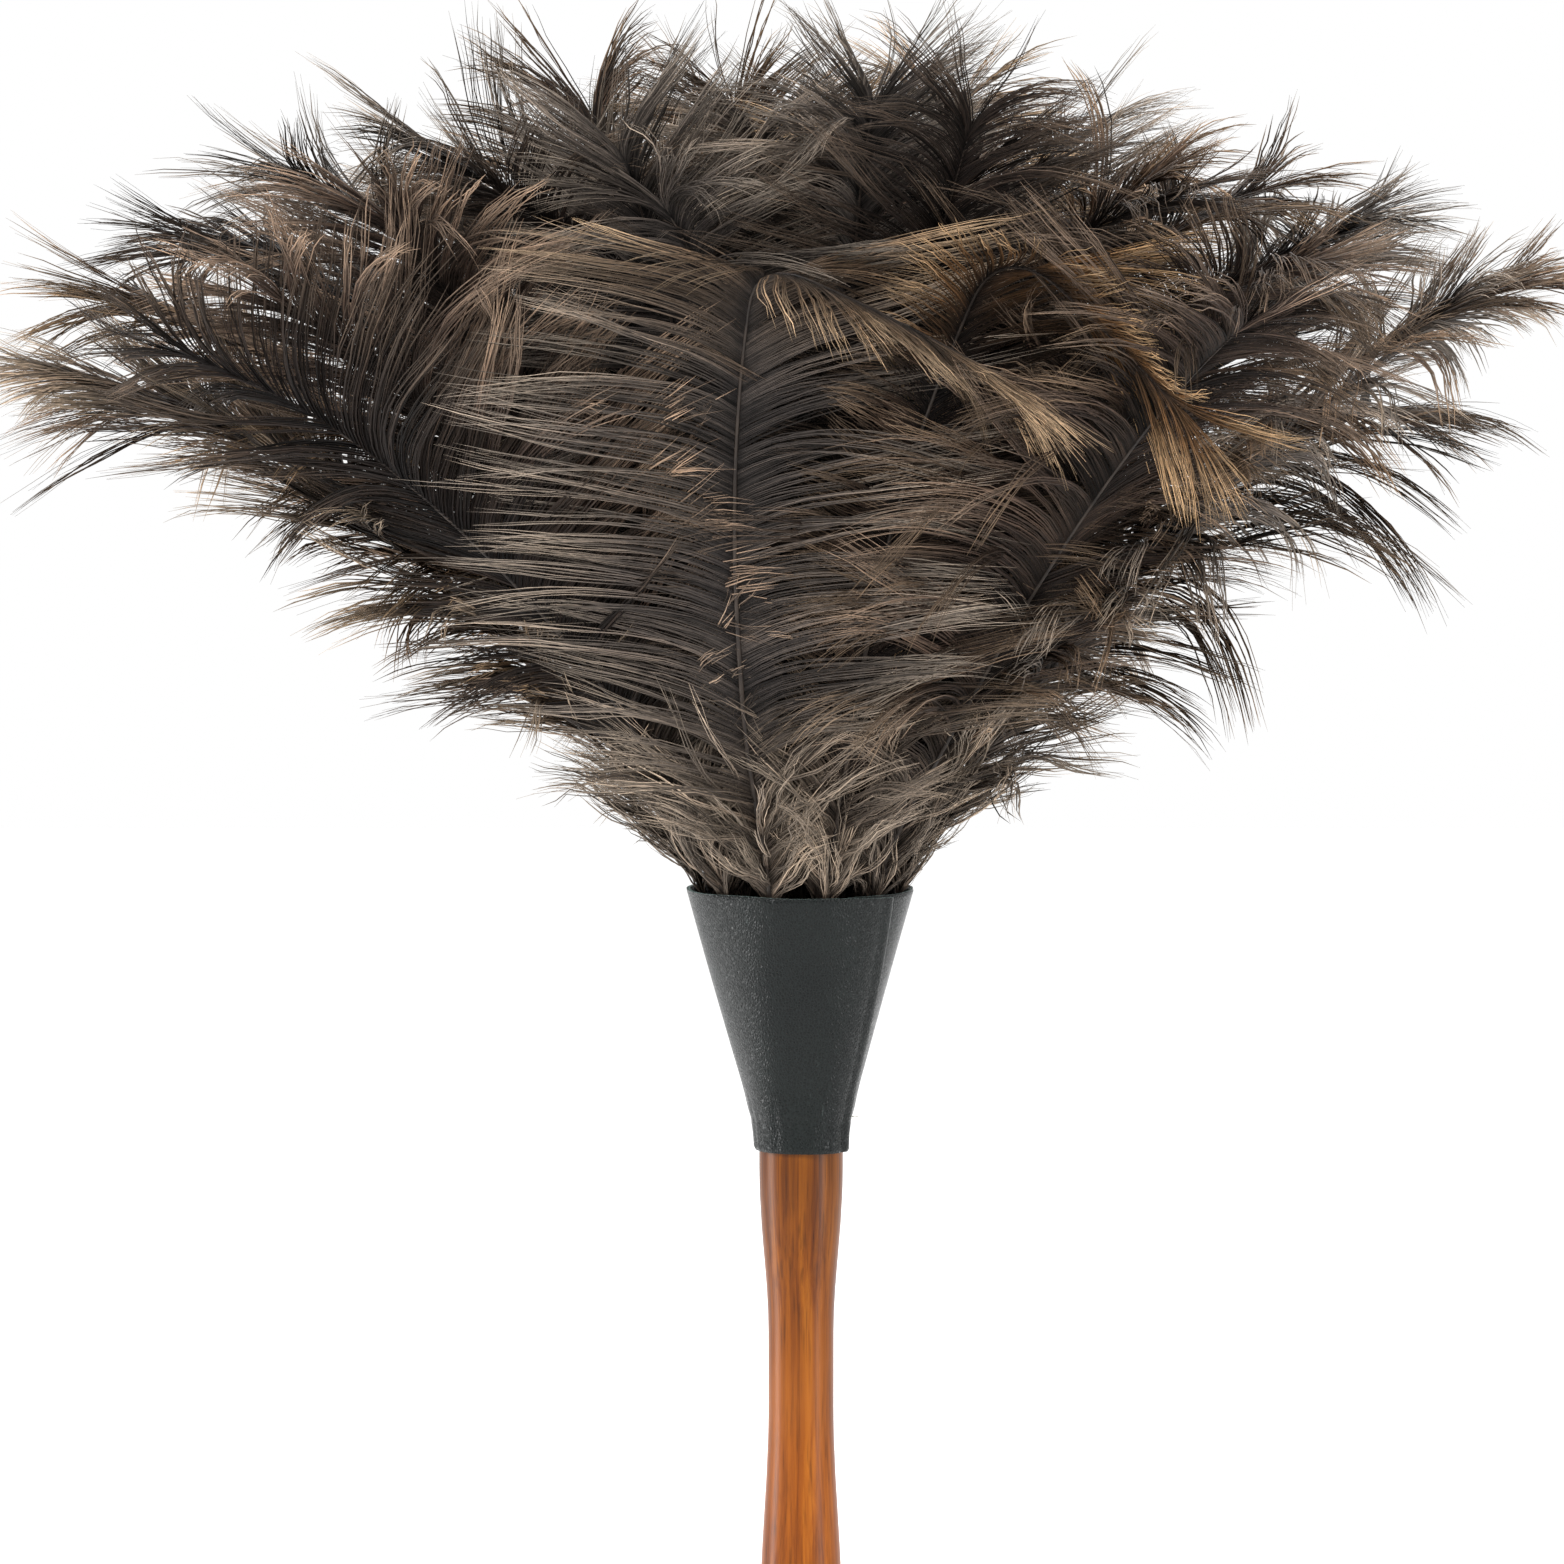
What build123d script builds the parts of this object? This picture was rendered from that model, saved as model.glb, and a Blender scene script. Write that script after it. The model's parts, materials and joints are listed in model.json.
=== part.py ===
from build123d import *
import math
import os
import random

# Feather duster: a turned wooden handle whose tapered tenon carries rings of ostrich
# feathers, each ring tied on by a cord winding, and a wrapped leather collar over the ties.
# Z is up the handle, from the middle of the flat butt end. -Y is the front. Millimetres.

# --- handle -----------------------------------------------------------------------------
BUTT_FACE_RADIUS = 4.0
BUTT_RADIUS = 8.8
BUTT_HEIGHT = 9.0
GRIP_RADIUS = 10.8
GRIP_HEIGHT = 84.0
WAIST_RADIUS = 7.9
WAIST_BOTTOM = 163.0
WAIST_TOP = 181.0
SEAT_RADIUS = 10.1
SEAT_BOTTOM = 221.0
SEAT_TOP = 233.0
TENON_TIP_RADIUS = 2.5
TENON_TIP = 284.0
TENON_TIP_ROUND = 1.2
HANG_HOLE_RADIUS = 2.5
HANG_HOLE_HEIGHT = 17.0

# --- leather collar ---------------------------------------------------------------------
LEATHER = 1.0
COLLAR_BOTTOM = 225.5
COLLAR_MOUTH = 289.0
MOUTH_RADIUS = 27.0
LEATHER_GAP = 0.05
SEAM_TOP_ANGLE = 319.0
SEAM_FOOT_ANGLE = 337.0
SEAM_OVERLAP = 24.0
SEAM_CLIMB = 50.0
COLLAR_POINTS = 40

# --- seam thread ------------------------------------------------------------------------
THREAD_RADIUS = 0.3
THREAD_STANDOFF = 0.1
THREAD_MARGIN = 1.0

# --- quills and bindings ----------------------------------------------------------------
QUILL_RADIUS = 0.8
QUILL_BUTT_RADIUS = 0.5
QUILL_CLEARANCE = 0.5
BINDING_CORD = 0.6
BINDING_TURNS = 8
BINDING_START = 2.0
BINDING_GAP = 0.05

# --- feathers ---------------------------------------------------------------------------
# How a feather at the outermost level opens, by the distance along it from the mouth.
MOUTH_ANGLE = 16.0
OPEN_ANGLE = 30.0
OPEN_LENGTH = 20.0
DROOP_ANGLE = 28.0
DROOP_LENGTH = 200.0
FREE_LENGTH = 60.0
# The head is flatter towards the front and the back, where the feathers stand steeper.
FRONT_ANGLE = 270.0
FRONT_LIFT = 0.50
FRONT_WIDTH = 40.0
BACK_ANGLE = 90.0
BACK_LIFT = 0.22
BACK_WIDTH = 45.0
# A feather's stand-in solid: a thin vane that keeps to its own sector of the ring.
VANE_THICKNESS = 2.4
VANE_THINNING = 0.35
VANE_START = 8.0
VANE_FULL = 60.0
VANE_ROUND = 0.72
SECTOR_FILL = 0.90
MOST_HALF_WIDTH = 62.0
TIP_HALF_WIDTH = 3.0
TIP_THICKNESS = 1.0
QUILL_STEPS = 5
VANE_SHARES = (0.03, 0.06, 0.10, 0.16, 0.23, 0.31, 0.40, 0.50, 0.60, 0.70, 0.78, 0.85, 0.91, 0.95, 0.98)
STEP = 1.0

# Each ring: name, feathers in it, level from 0 at the axis to 1 at the collar's wall,
# direction of its first feather in degrees from +X, length past the mouth, quill's foot.
RINGS = [
    ("outer", 11, 1.00, 252.0, 215.0, 240.0),
    ("lower", 10, 0.83, 282.0, 226.0, 250.0),
    ("middle", 9, 0.67, 250.0, 225.0, 255.0),
    ("upper", 8, 0.50, 270.0, 220.0, 260.0),
    ("inner", 7, 0.36, 255.0, 213.0, 268.0),
    ("crown", 5, 0.20, 280.0, 205.0, 280.0),
]
LEVEL_SPREAD = 0.035
LENGTH_SPREAD = 6.0
SEED = 41


def collar_radius(height):
    """Outer radius of the collar's single layer."""
    if height <= SEAT_TOP:
        return SEAT_RADIUS + LEATHER
    share = (height - SEAT_TOP) / (COLLAR_MOUTH - SEAT_TOP)
    return SEAT_RADIUS + LEATHER + share * (MOUTH_RADIUS - SEAT_RADIUS - LEATHER)


def quill_space(height):
    """Radius of the outermost quills' centres."""
    return collar_radius(height) - LEATHER - QUILL_RADIUS - BINDING_CORD - QUILL_CLEARANCE


def polar(radius, angle, height):
    """A point at an angle in degrees about the axis."""
    turn = math.radians(angle)
    return Vector(radius * math.cos(turn), radius * math.sin(turn), height)


def smooth(share):
    """An even rise from 0 to 1."""
    share = min(max(share, 0.0), 1.0)
    return share * share * (3.0 - 2.0 * share)


def make_handle():
    """The turned handle, with its waist, collar seat, tenon and hanging hole."""
    butt = Spline(
        (BUTT_FACE_RADIUS, 0),
        (BUTT_RADIUS * 0.86, 2.6),
        (BUTT_RADIUS, BUTT_HEIGHT),
        tangents=[(1, 0.12), (0.05, 1)],
    )
    grip = Spline(
        (BUTT_RADIUS, BUTT_HEIGHT),
        (GRIP_RADIUS, GRIP_HEIGHT),
        (9.35, 130),
        (WAIST_RADIUS, WAIST_BOTTOM),
        tangents=[(0.05, 1), (0, 1)],
    )
    waist = Line((WAIST_RADIUS, WAIST_BOTTOM), (WAIST_RADIUS, WAIST_TOP))
    shoulder = Spline(
        (WAIST_RADIUS, WAIST_TOP),
        (9.15, 202),
        (SEAT_RADIUS, SEAT_BOTTOM),
        tangents=[(0, 1), (0, 1)],
    )
    tenon = Polyline(
        (SEAT_RADIUS, SEAT_BOTTOM),
        (SEAT_RADIUS, SEAT_TOP),
        (TENON_TIP_RADIUS, TENON_TIP - TENON_TIP_ROUND),
        (TENON_TIP_RADIUS - TENON_TIP_ROUND, TENON_TIP),
        (0, TENON_TIP),
        (0, 0),
        (BUTT_FACE_RADIUS, 0),
    )
    outline = Plane.XZ * make_face([butt, grip, waist, shoulder, tenon])
    body = revolve(outline, Axis.Z)
    across = Plane((0, 0, HANG_HOLE_HEIGHT), x_dir=(1, 0, 0), z_dir=(0, 1, 0))
    hole = across * Cylinder(HANG_HOLE_RADIUS, 4 * BUTT_RADIUS)
    return body - hole


def seam_angle(height):
    """Direction of the leather's outer end at a height: the seam slants round the cone."""
    share = (height - COLLAR_BOTTOM) / (COLLAR_MOUTH - COLLAR_BOTTOM)
    return SEAM_FOOT_ANGLE + share * (SEAM_TOP_ANGLE - SEAM_FOOT_ANGLE)


def collar_section(height):
    """One closed outline of the wrapped leather at a height: a turn and a bit of a spiral."""
    start = seam_angle(height) - SEAM_OVERLAP
    turn = 360.0 + SEAM_OVERLAP
    outer = []
    inner = []
    for i in range(COLLAR_POINTS + 1):
        along = turn * i / COLLAR_POINTS
        lift = smooth((along - (360.0 - SEAM_CLIMB)) / SEAM_CLIMB) * (LEATHER + LEATHER_GAP)
        outer.append(polar(collar_radius(height) + lift, start + along, height))
        inner.append(polar(collar_radius(height) - LEATHER + lift, start + along, height))
    edges = [
        Edge.make_spline(outer),
        Edge.make_line(outer[-1], inner[-1]),
        Edge.make_spline(inner[::-1]),
        Edge.make_line(inner[0], outer[0]),
    ]
    return Wire(edges)


def make_collar():
    """The leather, as a band on the handle's seat and a cone above it."""
    band = Solid.make_loft([collar_section(z) for z in (COLLAR_BOTTOM, SEAT_TOP)], ruled=True)
    cone = Solid.make_loft([collar_section(z) for z in (SEAT_TOP, COLLAR_MOUTH)], ruled=True)
    return band + cone


def seam_corner(height):
    """The thread's centre in the corner between the seam's edge and the layer under it."""
    clear = THREAD_RADIUS + THREAD_STANDOFF
    radius = collar_radius(height) + clear
    return polar(radius, seam_angle(height) + math.degrees(clear / radius), height)


def make_seam_thread():
    """The thread lying along the seam's edge."""
    foot = SEAT_TOP + THREAD_MARGIN
    head = COLLAR_MOUTH - THREAD_MARGIN
    route = Spline(seam_corner(foot), seam_corner((foot + head) / 2), seam_corner(head))
    return sweep(Plane(route @ 0, z_dir=route % 0) * Circle(THREAD_RADIUS), path=route)


def make_binding(level, quill_foot):
    """Turns of binding cord, side by side, round one ring of quills."""
    points = []
    bottom = quill_foot + BINDING_START
    for i in range(BINDING_TURNS + 1):
        height = bottom + i * BINDING_CORD
        inside = level * quill_space(height) + QUILL_RADIUS + BINDING_GAP
        points.append((inside, height))
    ridges = []
    for low, high in zip(points, points[1:]):
        crest = ((low[0] + high[0]) / 2 + BINDING_CORD, (low[1] + high[1]) / 2)
        start = (low[0] + BINDING_CORD / 2, low[1])
        end = (high[0] + BINDING_CORD / 2, high[1])
        ridges.append(ThreePointArc(start, crest, end))
    base = Polyline(
        (points[-1][0] + BINDING_CORD / 2, points[-1][1]),
        points[-1],
        points[0],
        (points[0][0] + BINDING_CORD / 2, points[0][1]),
    )
    return revolve(Plane.XZ * make_face([*ridges, base]), Axis.Z)


def opening(distance):
    """Angle from upright of an outermost feather, in degrees, past the mouth."""
    opened = MOUTH_ANGLE + OPEN_ANGLE * (1.0 - math.exp(-distance / OPEN_LENGTH))
    return opened + DROOP_ANGLE * (distance / DROOP_LENGTH) ** 2


def lift_at(direction, centre, amount, width):
    """How much steeper feathers stand near one side of the head."""
    away = (direction - centre + 180.0) % 360.0 - 180.0
    return amount * math.exp(-((away / width) ** 2))


def spread_at(direction):
    """How far the head opens in a direction, as a share of its widest."""
    front = lift_at(direction, FRONT_ANGLE, FRONT_LIFT, FRONT_WIDTH)
    return 1.0 - front - lift_at(direction, BACK_ANGLE, BACK_LIFT, BACK_WIDTH)


def shaft_point(direction, level, stray, distance):
    """(radius, height, lean in radians) of the ring's surface at a distance past the mouth."""
    radius = level * quill_space(COLLAR_MOUTH)
    height = COLLAR_MOUTH
    lean = math.radians(level * MOUTH_ANGLE)
    if distance < 0:
        return radius + distance * math.sin(lean), height + distance * math.cos(lean), lean
    free = (level + stray) * spread_at(direction)
    for i in range(round(distance / STEP)):
        along = i * STEP
        share = level + (free - level) * smooth(along / FREE_LENGTH)
        lean = math.radians(share * opening(along))
        radius += STEP * math.sin(lean)
        height += STEP * math.cos(lean)
    return radius, height, lean


def vane_share(distance, length):
    """Width of the vane at a distance past the mouth, as a share of its widest."""
    rise = smooth((distance - VANE_START) / (VANE_FULL - VANE_START))
    fall = (distance / length - VANE_ROUND) / (1.0 - VANE_ROUND)
    return rise * math.sqrt(max(0.0, 1.0 - max(fall, 0.0) ** 2))


def lens(left, right, middle, across):
    """Two arcs that meet at the edges, bulging by across to either side of the middle."""
    over = Edge.make_three_point_arc(left, middle + across, right)
    under = Edge.make_three_point_arc(right, middle - across, left)
    return Wire([over, under])


def across_at(direction, lean, half_thickness):
    """The vector through the vane's thickness, outwards."""
    out = polar(math.cos(lean), direction, 0)
    return (out - Vector(0, 0, math.sin(lean))) * half_thickness


def flat_section(direction, level, stray, distance, half_width, half_thickness):
    """A flat lens across the shaft, round where its two sizes are equal."""
    radius, height, lean = shaft_point(direction, level, stray, distance)
    middle = polar(radius, direction, height)
    side = polar(half_width, direction + 90.0, 0)
    return lens(middle - side, middle + side, middle, across_at(direction, lean, half_thickness))


def vane_section(direction, level, stray, distance, half_width, half_thickness):
    """A lens that follows the ring's surface round the axis."""
    radius, height, lean = shaft_point(direction, level, stray, distance)
    spread = math.degrees(half_width / radius)
    edges = []
    for side in (-spread, spread):
        edge_radius, edge_height, _ = shaft_point(direction + side, level, stray, distance)
        edges.append(polar(edge_radius, direction + side, edge_height))
    middle = polar(radius, direction, height)
    return lens(*edges, middle, across_at(direction, lean, half_thickness))


def make_feather(direction, count, level, stray, length, quill_foot):
    """One feather: a round quill that flattens into a thin plume curved about the axis."""
    place = (direction, level, stray)
    inside = (COLLAR_MOUTH - quill_foot) / math.cos(math.radians(level * MOUTH_ANGLE))
    sections = [flat_section(*place, -inside, QUILL_BUTT_RADIUS, QUILL_BUTT_RADIUS)]
    for i in range(QUILL_STEPS):
        distance = -inside * (1.0 - (i + 1) / QUILL_STEPS) * 0.9
        sections.append(flat_section(*place, distance, QUILL_RADIUS, QUILL_RADIUS))
    for share in VANE_SHARES:
        distance = share * length
        sector = math.pi / count * SECTOR_FILL * shaft_point(*place, distance)[0]
        half_width = min(sector, MOST_HALF_WIDTH) * vane_share(distance, length)
        thickness = VANE_THICKNESS / 2 * (1.0 - VANE_THINNING * share)
        thickness = QUILL_RADIUS + (thickness - QUILL_RADIUS) * smooth(share / 0.2)
        sections.append(vane_section(*place, distance, max(half_width, QUILL_RADIUS), thickness))
    sections.append(flat_section(*place, length, TIP_HALF_WIDTH, TIP_THICKNESS / 2))
    return Solid.make_loft(sections, ruled=True)


def ring_feathers():
    """(node name, arguments of make_feather) for every feather of every ring."""
    chance = random.Random(SEED)
    rows = []
    for name, count, level, first, length, quill_foot in RINGS:
        for i in range(count):
            stray = chance.uniform(-LEVEL_SPREAD, LEVEL_SPREAD)
            own_length = length + chance.uniform(-LENGTH_SPREAD, LENGTH_SPREAD)
            direction = first + 360.0 * i / count
            node = f"feather_{name}_{i + 1:02d}"
            rows.append((node, (direction, count, level, stray, own_length, quill_foot)))
    return rows


def save(shape, node):
    """Write one sub-part to its own STEP file."""
    shape.label = node
    export_step(shape, f"parts/{node}.step")


os.makedirs("parts", exist_ok=True)
save(make_handle(), "handle")
save(make_collar(), "collar")
save(make_seam_thread(), "seam_thread")
for ring in RINGS:
    save(make_binding(level=ring[2], quill_foot=ring[5]), f"binding_{ring[0]}")
for node, settings in ring_feathers():
    save(make_feather(*settings), node)
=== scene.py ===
import json
import math
import random
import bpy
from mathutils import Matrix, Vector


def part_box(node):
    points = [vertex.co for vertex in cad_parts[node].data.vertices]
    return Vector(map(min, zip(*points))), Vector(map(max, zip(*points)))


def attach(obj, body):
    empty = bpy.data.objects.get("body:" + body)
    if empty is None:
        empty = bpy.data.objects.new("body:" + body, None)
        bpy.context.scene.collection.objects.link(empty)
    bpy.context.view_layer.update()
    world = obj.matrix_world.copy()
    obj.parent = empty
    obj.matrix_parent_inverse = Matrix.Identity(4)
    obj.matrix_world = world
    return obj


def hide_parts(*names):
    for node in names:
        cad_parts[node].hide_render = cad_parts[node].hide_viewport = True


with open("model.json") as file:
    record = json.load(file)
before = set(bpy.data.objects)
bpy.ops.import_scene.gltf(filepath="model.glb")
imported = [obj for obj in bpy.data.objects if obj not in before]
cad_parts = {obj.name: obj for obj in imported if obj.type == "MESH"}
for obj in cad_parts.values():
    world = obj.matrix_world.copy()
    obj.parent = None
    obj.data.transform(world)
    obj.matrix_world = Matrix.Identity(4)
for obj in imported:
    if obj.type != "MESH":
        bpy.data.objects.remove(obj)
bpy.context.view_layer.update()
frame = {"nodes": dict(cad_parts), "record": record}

from types import SimpleNamespace

import bpy
import numpy as np
from mathutils import Vector

# The feather duster's looks, in metres and degrees. Z is up the handle and -Y is the front.
# Every plume is a shaft with its own rows of barbs, on the same line as its CAD stand-in,
# and every barb is a few fine strands side by side.

MM = 0.001
COLLAR_LOW, COLLAR_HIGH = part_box("collar")

# --- the collar, as in the CAD model ----------------------------------------------------
COLLAR_FOOT = COLLAR_LOW[2]
MOUTH_HEIGHT = COLLAR_HIGH[2]
SEAT_TOP = 233.0 * MM
FOOT_RADIUS = 11.1 * MM
MOUTH_RADIUS = 27.0 * MM
LEATHER = 1.0 * MM
LEATHER_GAP = 0.05 * MM
SEAM_TOP_ANGLE = 319.0
SEAM_FOOT_ANGLE = 337.0
SEAM_OVERLAP = 24.0
SEAM_CLIMB = 50.0

# --- the collar's mesh, its folds and its stitches --------------------------------------
COLLAR_COLUMNS = 240
COLLAR_ROWS = 90
EDGE_ROUND = 0.35 * MM
EDGE_ROUND_INSIDE = 0.4
SHARP_ANGLE = 50.0
RIM_DROP = 0.25 * MM
LEATHER_EASE = 0.25 * MM
SEAT_BEND = 0.50 * MM
SEAT_BEND_WIDTH = 4.5 * MM
PUCKER_BAND = 7.0 * MM
LAP_LIFT = 0.70 * MM
LAP_SHARE = 0.15
STITCH_INSET = 2.8 * MM
STITCH_WIDTH = 0.8 * MM
STITCH_DEPTH = 0.45 * MM
THREAD_RADIUS = 0.3 * MM
THREAD_CLEAR = 0.35 * MM
THREAD_POINTS = 60
THREAD_SIDES = 10
WISPS = 5
WISP_OUT = 2.1 * MM
WISP_POINTS = 10
WISP_SIDES = 6

# --- the layout of the plumes, as in the CAD model --------------------------------------
QUILL_SPACE = 24.1 * MM
MOUTH_ANGLE = 16.0
OPEN_ANGLE = 30.0
OPEN_LENGTH = 20.0 * MM
DROOP_ANGLE = 28.0
DROOP_LENGTH = 200.0 * MM
FREE_LENGTH = 60.0 * MM
FRONT_ANGLE = 270.0
FRONT_LIFT = 0.50
FRONT_WIDTH = 40.0
BACK_ANGLE = 90.0
BACK_LIFT = 0.22
BACK_WIDTH = 45.0
STEP = 1.0 * MM

# Each ring: name, plumes in it, level from 0 at the axis to 1 at the collar's wall,
# direction of its first plume in degrees from +X, length past the mouth, quill's foot.
RINGS = [
    ("outer", 11, 1.00, 252.0, 215.0 * MM, 240.0 * MM),
    ("lower", 10, 0.83, 282.0, 226.0 * MM, 250.0 * MM),
    ("middle", 9, 0.67, 250.0, 225.0 * MM, 255.0 * MM),
    ("upper", 8, 0.50, 270.0, 220.0 * MM, 260.0 * MM),
    ("inner", 7, 0.36, 255.0, 213.0 * MM, 268.0 * MM),
    ("crown", 5, 0.20, 280.0, 205.0 * MM, 280.0 * MM),
]
LEVEL_SPREAD = 0.035
LENGTH_SPREAD = 6.0 * MM
LAYOUT_SEED = 41
LOOKS_SEED = LAYOUT_SEED + 1
WISP_SEED = LAYOUT_SEED + 7

# --- the shafts and barbs ---------------------------------------------------------------
SHAFT_SHARE = 0.87
SHAFT_RADIUS = 0.75 * MM
SHAFT_TIP_RADIUS = 0.22 * MM
SHAFT_SIDES = 8
SHAFT_STRIDE = 4
BARB_PITCH = 1.50 * MM
BARB_STEPS = 9
STEP_CROWDING = 1.15
SHARES = (np.arange(BARB_STEPS + 1) / BARB_STEPS) ** STEP_CROWDING
STRANDS = 4
STRAND_GAP = 0.33 * MM
STRAND_HALF_WIDTH = 0.19 * MM
STRAND_RIDGE = 0.12 * MM
DOWN_LENGTH = 58.0 * MM
DOWN_START = 3.0 * MM
TUFT_HEIGHT = 20.0 * MM
TUFT_PITCH = 0.4 * MM
TIP_FAN = 22
TIP_INSET = 0.5 * MM
FRONT_ROLL = 34.0

# Places along a shaft, as shares of it, for a plume's lists of angles and lengths.
ANGLE_PLACES = [0.0, 0.15, 0.4, 0.75, 0.92, 1.0]
LENGTH_PLACES = [0.0, 0.1, 0.25, 0.5, 0.8, 1.0]

# Barbs hold together in locks, and some locks stray.
LOCK_SIZES = [2, 3, 3, 4, 5, 6, 8]
LOCK_BEND = 3.0
RUFFLED_BEND = 7.0
STRAY_LOCKS = 0.12
STRAY_BEND = 2.2
LOOSE_BARBS = 0.07
LOOSE_HOLD = 0.15
LOCK_START = 0.22

# How unruly barbs are, each on its own or a whole lock alike.
LOCK_TILT = 12.0
OWN_DOWN_TILT = 22.0
LOCK_DOWN_TILT = 34.0
OWN_BEND = 2.0
OWN_SAG = 0.08
LOCK_SAG = 0.30
OWN_WANDER = 0.35
OWN_TONE = 0.11
LOCK_TONE = 0.12
SWING = 0.08
DOWN_SWING = 0.50

# How a strand narrows to its tip, how it twists and frays, and how much painted shade darkens the
# outer strands of each barb.
WIDTH_TAPER = 0.45
RIDGE_TAPER = 0.60
GAP_TAPER = 0.35
STRAND_TWIST = 0.35
TIP_TWIST = 0.80
FRAY = 0.85 * MM
FUZZ = 0.06 * MM
TIP_FUZZ = 0.17 * MM
EDGE_PAINTED_SHADE = 0.22
STRAND_TONE = 0.11

# --- the plumes' settings ---------------------------------------------------------------
# Shaft: curl is how far its end bends over, from curl_from to curl_to along it; sway turns
# it round the handle, and veer turns its curled end; stray moves it off its ring's level.
# Vane: fold and roll tilt its two halves, arch bends barbs off the shaft, sag and tip_sag
# let them hang, crest holds up the left ones on the curled end, wrap draws them in round
# the head, wander and ruffle disorder them, and gather draws the locks together.
# Barbs: tuft is how many more grow by the collar, strands thickens them, left shortens the
# left half, tone lightens them, and gold and tip_gold turn them golden. The angles off the
# shaft are for ANGLE_PLACES and the lengths for LENGTH_PLACES.
# ring_plumes draws what is not here.
ORDINARY = {
    "curl_from": 0.70, "curl_to": 1.05, "tip_sag": 0.8, "crest": 0.0, "wrap": 0.30,
    "wander": 0.20, "ruffle": 1.0, "tuft": 32, "strands": 1.0, "left": 1.0, "tip_gold": 0.0,
    "angles": [28.0, 38.0, 48.0, 44.0, 32.0, 26.0],
    "lengths": [34 * MM, 50 * MM, 66 * MM, 76 * MM, 70 * MM, 44 * MM],
}

# Plumes at the left side are brushes: their long barbs lie close along the shaft.
# Those at both sides have thicker strands, for there are fewer of them one behind another.
LEFT_ANGLE = 180.0
RIGHT_ANGLE = 0.0
SIDE_WIDTH = 42.0
SIDE_STRANDS = 1.5
BRUSH = {
    "angles": [28.0, 38.0, 42.0, 34.0, 24.0, 18.0],
    "lengths": [32 * MM, 44 * MM, 62 * MM, 80 * MM, 82 * MM, 52 * MM],
}

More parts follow.
